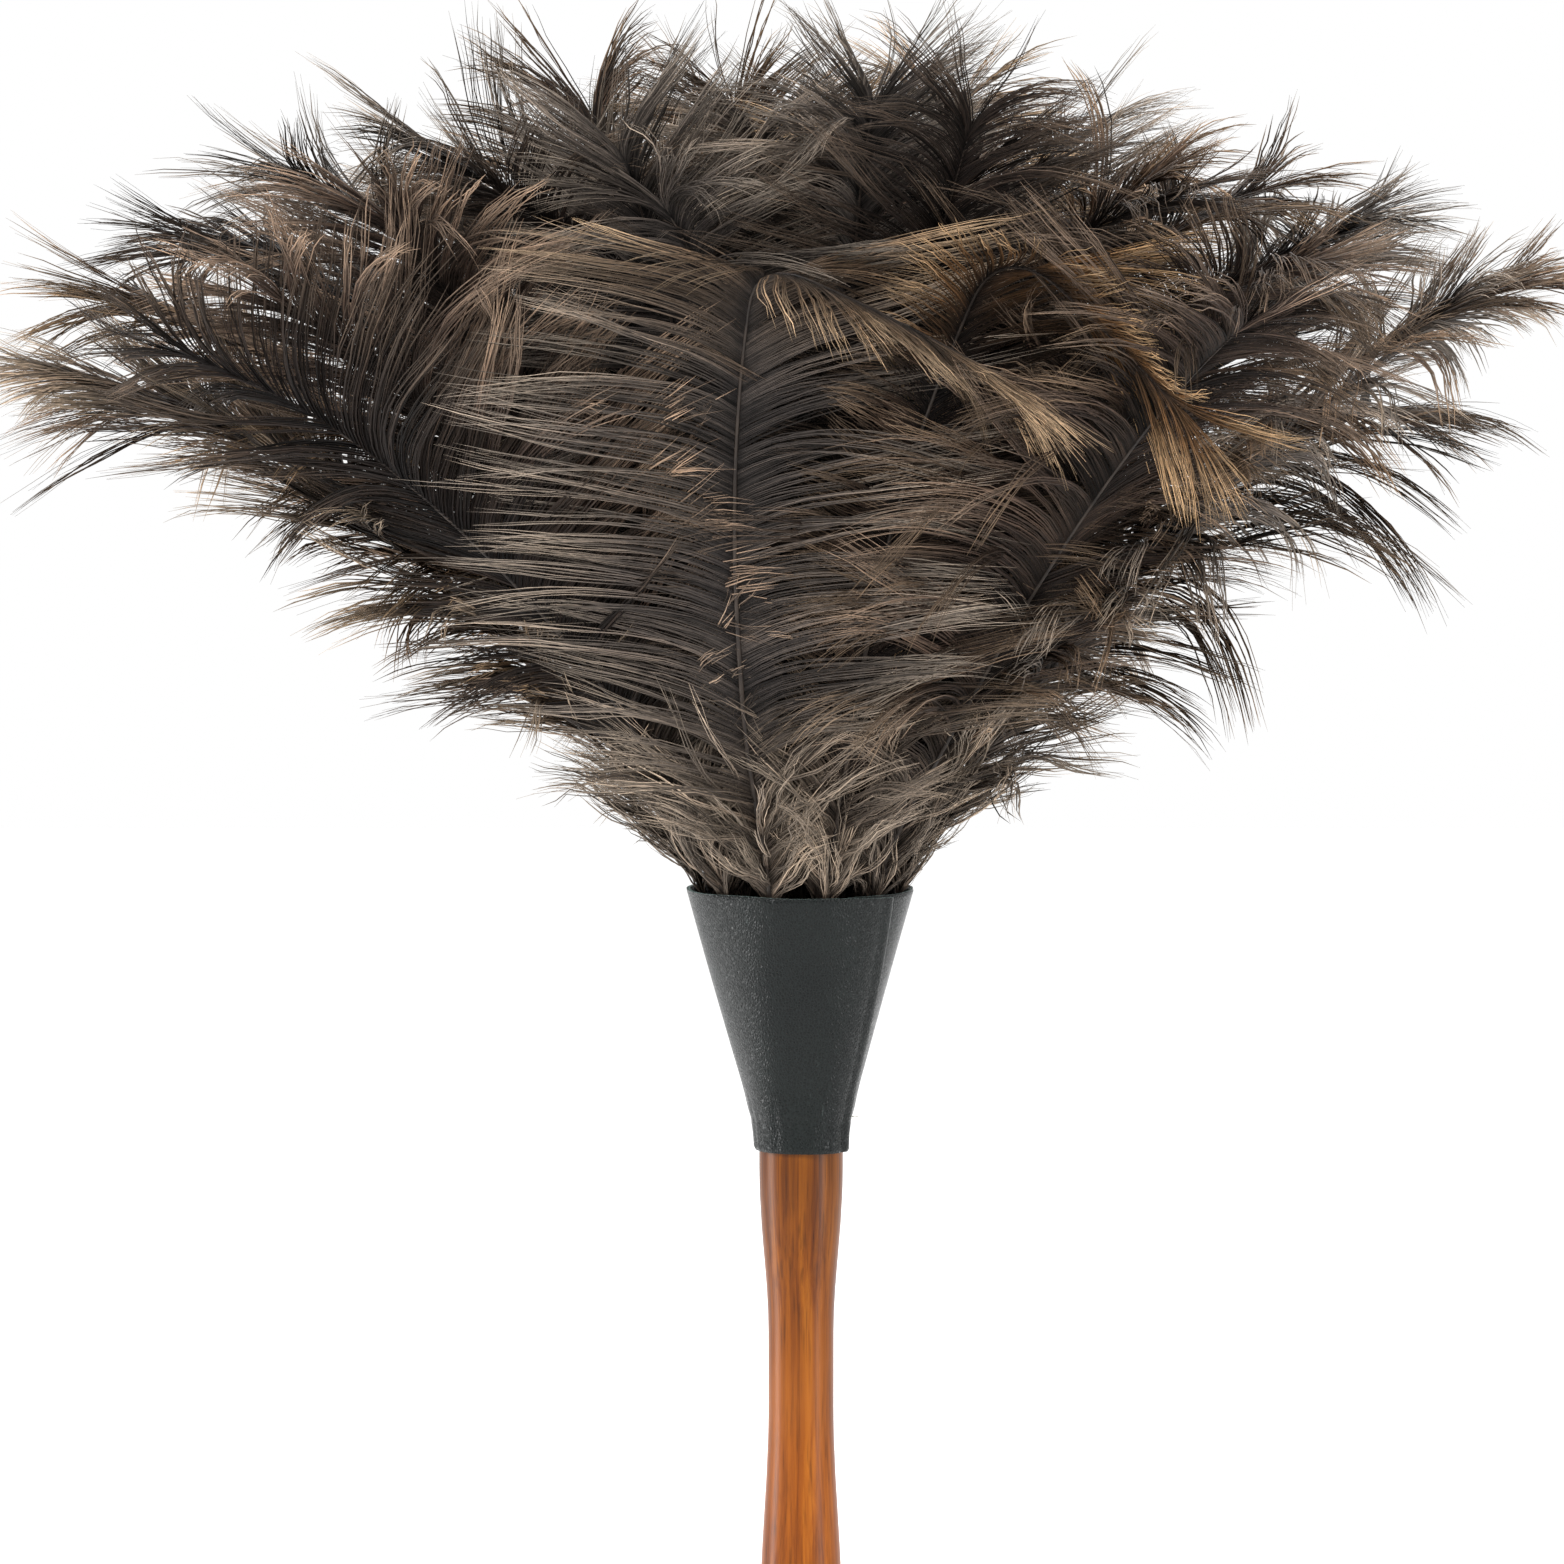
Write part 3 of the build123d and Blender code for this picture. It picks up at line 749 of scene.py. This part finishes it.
def shaft_line(plume):
    """The shaft's distances past the mouth, points, tangents, outward normals and sides."""
    turn = math.radians(plume["direction"])
    lean = math.radians(plume["level"] * MOUTH_ANGLE)
    inside = (MOUTH_HEIGHT - plume["quill_foot"]) / math.cos(lean)
    mouth = plume["level"] * QUILL_SPACE
    free = (plume["level"] + plume["stray"]) * spread_at(plume["direction"])
    length = plume["length"] * SHAFT_SHARE
    up = np.array([0.0, 0.0, 1.0])
    place = np.array([mouth * math.cos(turn), mouth * math.sin(turn), MOUTH_HEIGHT])
    outward = np.array([math.cos(turn), math.sin(turn), 0.0])
    start = place - inside * (math.sin(lean) * outward + math.cos(lean) * up)
    distances, points, leans, turns = [-inside], [start], [lean], [turn]
    for i in range(int(length / STEP) + 1):
        along = i * STEP
        level = plume["level"] + (free - plume["level"]) * float(smooth(along / FREE_LENGTH))
        opened = MOUTH_ANGLE + OPEN_ANGLE * (1.0 - math.exp(-along / OPEN_LENGTH))
        opened += DROOP_ANGLE * (along / DROOP_LENGTH) ** 2
        curled = float(curled_share(plume, along / length))
        lean = math.radians(level * opened + plume["curl"] * curled)
        swayed = plume["sway"] * float(smooth(along / length)) + plume["veer"] * curled
        side = turn + math.radians(swayed)
        distances.append(along)
        points.append(place)
        leans.append(lean)
        turns.append(side)
        heading = np.array([math.cos(side), math.sin(side), 0.0])
        place = place + STEP * (math.sin(lean) * heading + math.cos(lean) * up)
    leans, turns = np.array(leans)[:, None], np.array(turns)
    heading = np.stack([np.cos(turns), np.sin(turns), np.zeros_like(turns)], 1)
    tangents = np.sin(leans) * heading + np.cos(leans) * up
    normals = np.cos(leans) * heading - np.sin(leans) * up
    return np.array(distances), np.array(points), tangents, normals, np.cross(tangents, normals)


def new_lock(plume, chance):
    """A lock's number of barbs, its bend and its barbs' share of their full length."""
    size = chance.choice(LOCK_SIZES)
    bend = chance.gauss(0.0, LOCK_BEND + RUFFLED_BEND * plume["ruffle"])
    if chance.random() < STRAY_LOCKS:
        bend *= STRAY_BEND
    return size, bend, chance.uniform(0.82, 1.06)


def side_barbs(plume, side, lock, chance, shaft_end):
    """The barbs along one side of the shaft; their locks are numbered on from lock."""
    rows = []
    along, left = -DOWN_START, 0
    while along < shaft_end:
        if left == 0:
            left, lock_bend, lock_length = new_lock(plume, chance)
            lock += 1
        left -= 1
        share = max(along, 0.0) / shaft_end
        angle = float(np.interp(share, ANGLE_PLACES, plume["angles"]))
        length = float(np.interp(share, LENGTH_PLACES, plume["lengths"]))
        length *= lock_length * chance.uniform(0.88, 1.04)
        if side < 0:
            length *= 1.0 - (1.0 - plume["left"]) * float(smooth(share / 0.25))
        rows.append((along, side, lock, angle + chance.gauss(0, 1.0), lock_bend, length))
        crowding = 1.0 - 0.2 * share - 0.50 * float(1.0 - smooth(along / DOWN_LENGTH))
        along += BARB_PITCH * chance.uniform(0.85, 1.15) * crowding
    return rows


def tip_barbs(plume, lock, chance, shaft_end):
    """The fan of barbs at the shaft's tip, in locks of three."""
    rows = []
    for i in range(TIP_FAN):
        share = (i + 0.5) / TIP_FAN * 2.0 - 1.0
        angle = abs(share) * plume["angles"][-1]
        length = plume["lengths"][-1] * chance.uniform(0.75, 1.08)
        side = math.copysign(1.0, share)
        rows.append((shaft_end - TIP_INSET, side, lock + 1 + i // 3, angle, 0.0, length))
    return rows


def tuft_barbs(plume, lock, chance):
    """Short extra barbs by the collar, in locks of four."""
    rows = []
    for i in range(plume["tuft"]):
        if i % 4 == 0:
            lock += 1
            along = chance.uniform(-DOWN_START, TUFT_HEIGHT)
            side = chance.choice([-1.0, 1.0])
            angle = chance.uniform(10.0, 42.0)
        own_angle = angle + chance.gauss(0, 4.0)
        rows.append((along, side, lock, own_angle, 0.0, chance.uniform(16.0, 38.0) * MM))
        along += TUFT_PITCH
    return rows


def barb_roots(plume, chance, shaft_end):
    """For each barb: distance along the shaft, side, lock, angle and bend off it, length."""
    rows = side_barbs(plume, -1.0, 0, chance, shaft_end)
    rows += side_barbs(plume, 1.0, rows[-1][2], chance, shaft_end)
    rows += tip_barbs(plume, rows[-1][2], chance, shaft_end)
    rows += tuft_barbs(plume, rows[-1][2], chance)
    return [np.array(column) for column in zip(*rows)]


class Chances:
    """Random numbers for barbs, each barb's own or the same all over its lock."""

    def __init__(self, seed, lock):
        self.dice = np.random.default_rng(seed)
        self.lock = lock
        self.locks = lock.max() + 1

    def own(self, scale, *size):
        """Normal numbers, one for each barb."""
        return scale * self.dice.standard_normal((len(self.lock), *size))

    def shared(self, scale, *size):
        """Normal numbers, one for each lock."""
        return scale * self.dice.standard_normal((self.locks, *size))[self.lock]

    def own_between(self, low, high):
        """Even numbers, one for each barb."""
        return self.dice.uniform(low, high, len(self.lock))

    def shared_between(self, low, high):
        """Even numbers, one for each lock."""
        return self.dice.uniform(low, high, self.locks)[self.lock]


def barb_aim(plume, barbs, chances):
    """The way each barb goes at each step: in its own plane, off the shaft and arching."""
    tilt = plume["fold"] + plume["roll"] * barbs.side
    tilt = tilt + chances.shared(LOCK_TILT * plume["ruffle"])
    tilt = tilt + (chances.own(OWN_DOWN_TILT) + chances.shared(LOCK_DOWN_TILT)) * barbs.down
    tilt = np.radians(tilt)[:, None]
    heading = np.cos(tilt) * barbs.across * barbs.side[:, None] + np.sin(tilt) * barbs.normal
    arch = plume["arch"] * (1.0 - 0.7 * barbs.down)[:, None] * smooth(SHARES / 0.35)
    bent = (barbs.bend + chances.own(OWN_BEND))[:, None] * smooth(SHARES / 0.8)
    turned = np.radians(barbs.angle[:, None] + arch + bent)[..., None]
    return np.cos(turned) * barbs.tangent[:, None] + np.sin(turned) * heading[:, None]


def barb_drift(plume, barbs, chances):
    """How barbs sag, wrap round the head and wander, more and more towards their tips."""
    curled = curled_share(plume, barbs.place)
    sag = plume["sag"] + (plume["tip_sag"] - plume["sag"]) * curled
    sag = sag * np.where(barbs.side < 0, 1.0 - plume["crest"] * curled, 1.0)
    sag = sag * np.clip(1.0 + chances.shared(LOCK_SAG) + chances.own(OWN_SAG), 0.2, 2.0)
    sag = sag * (1.0 - 0.95 * barbs.down)
    wander = chances.shared(plume["wander"], 3) + chances.own(OWN_WANDER * plume["wander"], 3)
    gravity = np.array([0.0, 0.0, -1.0])
    drift = (sag[:, None] * SHARES**1.3)[..., None] * gravity
    drift = drift - (plume["wrap"] * SHARES)[:, None] * barbs.normal[:, None]
    return drift + wander[:, None] * (SHARES**1.2)[:, None]


def barb_waves(barbs, chances):
    """How barbs wave to and fro, strongest in the down."""
    start = 0.5 * chances.own_between(0, math.tau) + chances.shared_between(0, math.tau)
    start, rate = start[:, None], chances.shared_between(1.0, 2.0)[:, None]
    swing = (SWING + DOWN_SWING * barbs.down)[:, None] * smooth(SHARES / 0.3)
    along = swing * np.sin(start + math.tau * rate * SHARES)
    out = 0.6 * swing * np.cos(start + 5.1 * rate * SHARES)
    return along[..., None] * barbs.tangent[:, None] + out[..., None] * barbs.normal[:, None]


def gather_locks(path, hold, chances):
    """Draws the barbs of each lock towards its middle one, most at their tips."""
    lock = chances.lock
    first = np.searchsorted(lock, np.arange(chances.locks + 1))
    guide = (first[lock] + first[lock + 1] - 1) // 2
    draw = hold * chances.shared_between(0.5, 1.15)
    loose = chances.dice.random(len(lock)) < LOOSE_BARBS
    draw = np.where(loose, LOOSE_HOLD * draw, draw)
    draw = np.clip(draw, 0, 0.93)[:, None] * smooth((SHARES - LOCK_START) / (1.0 - LOCK_START))
    return path + draw[..., None] * (path[guide] - path)


def grow_barbs(plume, line, chance):
    """Barbs' paths (barb, step, xyz) and ribbon directions, their tone, downiness and gold.

    Also the generator of their chances, for the strands to go on with.
    """
    distances, points, tangents, normals, sides = line
    seed = chance.randrange(10**6)
    along, side, lock, angle, bend, length = barb_roots(plume, chance, distances[-1])

    def at(values):
        return np.stack([np.interp(along, distances, values[:, k]) for k in range(3)], 1)

    barbs = SimpleNamespace(
        side=side, angle=angle, bend=bend, place=along / distances[-1],
        tangent=unit(at(tangents)), normal=unit(at(normals)), across=unit(at(sides)),
        down=1.0 - smooth(along / DOWN_LENGTH),
    )
    chances = Chances(seed, lock)
    move = barb_aim(plume, barbs, chances)
    move = move + barb_drift(plume, barbs, chances)
    move = unit(move + barb_waves(barbs, chances))
    steps = np.diff(SHARES)[None, :, None] * length[:, None, None]
    path = np.repeat(at(points)[:, None], BARB_STEPS + 1, 1)
    path[:, 1:] += np.cumsum((move[:, 1:] + move[:, :-1]) / 2 * steps, 1)
    path = gather_locks(path, plume["gather"] * (1.0 - 0.3 * barbs.down), chances)
    ribbon = unit(np.cross(barbs.normal[:, None], np.gradient(path, axis=1)))
    tone = 0.5 + plume["tone"] + chances.own(OWN_TONE) + chances.shared(LOCK_TONE)
    gold = plume["gold"] + plume["tip_gold"] * smooth((barbs.place - 0.6) / 0.15)
    return path, ribbon, tone, barbs.down, np.clip(gold, 0.0, 1.0), chances.dice


def split_strands(path, ribbon, tone, size, dice):
    """Each barb's strands: (paths, ribbon directions, tones), barb by barb. The tones hold painted
    shade: each barb's outer strands darker, its middle ones lighter.
    """
    count = len(path)
    reach = dice.uniform(0.80, 1.0, (count, STRANDS)) ** (1.0 / STEP_CROWDING)
    index = np.arange(BARB_STEPS + 1)[None, None] * reach[..., None]
    low = np.minimum(index.astype(int), BARB_STEPS - 1)
    part = (index - low)[..., None]
    barb = np.arange(count)[:, None, None]
    strand = path[barb, low] * (1 - part) + path[barb, low + 1] * part
    flat = ribbon[barb, low] * (1 - part) + ribbon[barb, low + 1] * part
    place = np.arange(STRANDS) - (STRANDS - 1) / 2
    apart = place[None, :, None] * size * STRAND_GAP * (1.0 - GAP_TAPER * SHARES)[None, None]
    strand = strand + apart[..., None] * flat
    fray = dice.standard_normal((count, STRANDS, 1, 3)) * (FRAY * SHARES**1.3)[None, None, :, None]
    fuzz = dice.standard_normal(strand.shape) * (FUZZ + TIP_FUZZ * SHARES)[None, None, :, None]
    strand = strand + fray + fuzz * (SHARES > 0)[None, None, :, None]
    # Painted shade: the outer strands of each barb darker, the middle ones lighter.
    edge = EDGE_PAINTED_SHADE * np.abs(place) / max((STRANDS - 1) / 2, 1)
    own_tone = STRAND_TONE * dice.standard_normal((count, STRANDS))
    tones = tone[:, None] + 0.09 - edge[None] + own_tone
    shape = (count * STRANDS, BARB_STEPS + 1, 3)
    return strand.reshape(shape), unit(flat).reshape(shape), np.clip(tones, 0, 1).ravel()


def strand_mesh(path, ribbon, size, dice):
    """Closed three-sided ribbons: (points, quads, caps)."""
    count, rings = path.shape[:2]
    heading = unit(np.gradient(path, axis=1))
    face = unit(np.cross(heading, ribbon))
    twist = dice.normal(0, STRAND_TWIST, count)[:, None]
    twist = twist + dice.normal(0, TIP_TWIST, count)[:, None] * SHARES[None]
    cos, sin = np.cos(twist)[..., None], np.sin(twist)[..., None]
    ribbon, face = cos * ribbon + sin * face, cos * face - sin * ribbon
    width = size * STRAND_HALF_WIDTH * (1.0 - WIDTH_TAPER * SHARES)
    width = width * np.sqrt(np.maximum(1.0 - SHARES**6, 0.01))
    width = (width[None] * dice.uniform(0.7, 1.25, count)[:, None])[..., None]
    top = path + face * (STRAND_RIDGE * (1.0 - RIDGE_TAPER * SHARES))[None, :, None]
    points = np.stack([path - ribbon * width, top, path + ribbon * width], 2).reshape(-1, 3)
    first = (np.arange(count)[:, None] * rings + np.arange(rings - 1)[None]) * 3
    quads = [
        np.stack([first + a, first + b, first + 3 + b, first + 3 + a], -1)
        for a, b in ((0, 1), (1, 2), (2, 0))
    ]
    start = np.arange(count) * rings * 3
    end = start + (rings - 1) * 3
    foot = np.stack([start + 2, start + 1, start], 1)
    tip = np.stack([end, end + 1, end + 2], 1)
    return points, np.stack(quads, 2).reshape(-1, 4), np.concatenate([foot, tip])


def make_plume(plume, node, slot, barb_material, horn):
    """One plume: its shaft and barbs in one mesh, with the barbs' facts for the material."""
    line = shaft_line(plume)
    distances, places = line[:2]
    path, ribbon, tone, down, gold, dice = grow_barbs(plume, line, random.Random(plume["seed"]))
    strands, flat, tones = split_strands(path, ribbon, tone, plume["strands"], dice)
    barbs = strand_mesh(strands, flat, plume["strands"], dice)
    last = len(places) - 1
    keep = np.unique(np.r_[0, np.arange(1, last + 1, SHAFT_STRIDE), last])
    share = np.clip(distances[keep] / distances[-1], 0, 1)
    radii = SHAFT_RADIUS + (SHAFT_TIP_RADIUS - SHAFT_RADIUS) * share
    points, quads, caps, kinds = join(barbs, tube(places[keep], radii, SHAFT_SIDES))
    mesh = build_mesh(node + "_barbs", points, quads, caps, kinds)
    count, rings = strands.shape[:2]
    shaft_start = len(barbs[0])
    facts = np.zeros((len(points), 4), np.float32)
    facts[:shaft_start, 0] = np.tile(np.repeat(SHARES, 3), count)
    facts[:shaft_start, 1] = np.repeat(tones, rings * 3)
    facts[:shaft_start, 2] = np.repeat(down, rings * 3 * STRANDS)
    facts[:shaft_start, 3] = np.repeat(gold, rings * 3 * STRANDS)
    layer = mesh.color_attributes.new("barb", "FLOAT_COLOR", "POINT")
    layer.data.foreach_set("color", facts.ravel())
    lay_out(mesh, count, rings, shaft_start)
    add_piece(node.replace("feather", "plume"), mesh, node, slot, barb_material, horn)


def lay_out(mesh, count, rings, shaft_start):
    """The map for the bake: one strip for each strand, from root to tip, the shaft on top."""
    corners = np.empty(len(mesh.loops), np.int32)
    mesh.loops.foreach_get("vertex_index", corners)
    rows = count * 1.04
    ring = corners // 3 % rings
    lane = np.array([0.15, 0.5, 0.85])[corners % 3]
    on_shaft = corners >= shaft_start
    around = corners - shaft_start
    shaft_rings = max(1, around.max() // SHAFT_SIDES)
    along = np.where(on_shaft, around // SHAFT_SIDES / shaft_rings, ring / (rings - 1))
    strip = corners // (rings * 3) + lane
    shaft_strip = count * 1.01 + (around % SHAFT_SIDES) * 0.003 * count
    v = np.where(on_shaft, shaft_strip, strip) / rows
    layer = mesh.uv_layers.new(name="OFBake")
    layer.data.foreach_set("uv", np.stack([0.01 + 0.98 * along, v], 1).astype(np.float32).ravel())


def front_roll(direction):
    """Turn of a plume's vane at the front, where the edges towards the middle tuck under."""
    away = math.radians(direction - FRONT_ANGLE)
    return FRONT_ROLL * math.sin(away) * max(0.0, math.cos(away))


def ring_plumes():
    """(CAD node, the plume's settings) for every plume of every ring."""
    layout = random.Random(LAYOUT_SEED)
    looks = random.Random(LOOKS_SEED)
    for name, count, level, first, length, quill_foot in RINGS:
        for i in range(count):
            node = f"feather_{name}_{i + 1:02d}"
            direction = first + 360.0 * i / count
            plume = dict(
                ORDINARY,
                direction=direction,
                level=level,
                quill_foot=quill_foot,
                stray=layout.uniform(-LEVEL_SPREAD, LEVEL_SPREAD),
                length=length + layout.uniform(-LENGTH_SPREAD, LENGTH_SPREAD),
                seed=looks.randrange(10**6),
                curl=looks.uniform(0.0, 60.0) * (1.0 - 0.6 * level),
                sway=looks.uniform(-16.0, 16.0),
                veer=looks.uniform(-30.0, 30.0),
                fold=looks.uniform(-16.0, 8.0),
                roll=looks.uniform(-10.0, 10.0) + front_roll(direction),
                arch=looks.uniform(12.0, 34.0),
                sag=looks.uniform(0.20, 0.85),
                gather=looks.uniform(0.28, 0.66),
                tone=looks.uniform(-0.16, 0.10),
                gold=max(0.0, looks.uniform(-0.9, 0.6)),
            )
            if abs(turn_between(direction, LEFT_ANGLE)) < SIDE_WIDTH:
                plume.update(BRUSH, strands=SIDE_STRANDS)
            elif abs(turn_between(direction, RIGHT_ANGLE)) < SIDE_WIDTH:
                plume["strands"] = SIDE_STRANDS
            plume.update(SPECIAL.get(node, {}))
            yield node, plume


def make_plumes():
    """All the plumes, each in the material of its CAD node's slot."""
    materials = {name: plume_material(name, *colours) for name, colours in COATS.items()}
    horn = shaft_material()
    slots = {row["node"]: row["material_slot"] for row in frame["record"]["subparts"]}
    for node, plume in ring_plumes():
        make_plume(plume, node, slots[node], materials[slots[node]], horn)


# --- floor, light and camera ------------------------------------------------------------
def make_floor():
    """A plain white floor under the butt."""
    half = 3.0
    corners = [(-half, -half, 0), (half, -half, 0), (half, half, 0), (-half, half, 0)]
    mesh = bpy.data.meshes.new("floor")
    mesh.from_pydata([Vector(c) for c in corners], [], [(0, 1, 2, 3)])
    floor = bpy.data.objects.new("floor", mesh)
    bpy.context.scene.collection.objects.link(floor)
    mesh.materials.append(floor_material())


def make_light(name, place, target, size, power):
    """A soft square studio light."""
    lamp = bpy.data.lights.new(name, "AREA")
    lamp.shape = "SQUARE"
    lamp.size = size
    lamp.energy = power
    light = bpy.data.objects.new(name, lamp)
    light.location = place
    aim = Vector(target) - Vector(place)
    light.rotation_euler = aim.to_track_quat("-Z", "Y").to_euler()
    bpy.context.scene.collection.objects.link(light)


def make_studio():
    """White surroundings and the soft lights."""
    for light in LIGHTS:
        make_light(*light)
    world = bpy.data.worlds.new("studio")
    world.use_nodes = True
    background = world.node_tree.nodes["Background"]
    background.inputs["Color"].default_value = (1, 1, 1, 1)
    background.inputs["Strength"].default_value = 1.0
    bpy.context.scene.world = world
    bpy.context.scene.view_settings.view_transform = "Standard"


def make_camera():
    """A long lens a little above the collar, square to the front."""
    centre = Vector((-4.6 * MM, 0.0, 314.2 * MM))
    width = 375.4 * MM
    distance = 2.4
    above = math.radians(5.5)
    data = bpy.data.cameras.new("camera")
    data.sensor_width = 36.0
    data.lens = data.sensor_width * distance / width
    camera = bpy.data.objects.new("camera", data)
    camera.location = centre + Vector((0.0, -math.cos(above), math.sin(above))) * distance
    camera.rotation_euler = (centre - camera.location).to_track_quat("-Z", "Y").to_euler()
    bpy.context.scene.collection.objects.link(camera)
    bpy.context.scene.camera = camera


def finish_cad_nodes():
    """The CAD nodes that stay get their materials: the handle and the hidden windings."""
    wood = wood_material()
    cord = cord_material("binding_cord", srgb(92, 80, 62), srgb(168, 150, 120))
    for node, piece in frame["nodes"].items():
        if node == "handle" or node.startswith("binding"):
            piece.data.materials.clear()
            piece.data.materials.append(wood if node == "handle" else cord)


finish_cad_nodes()
make_collar(leather_material(), cut_edge_material())
make_seam_thread(
    cord_material("seam_dark_thread", srgb(40, 44, 44), srgb(98, 104, 102)),
    cord_material("seam_pale_thread", srgb(150, 148, 142), srgb(226, 224, 218)),
)
make_plumes()
make_camera()
make_floor()
make_studio()
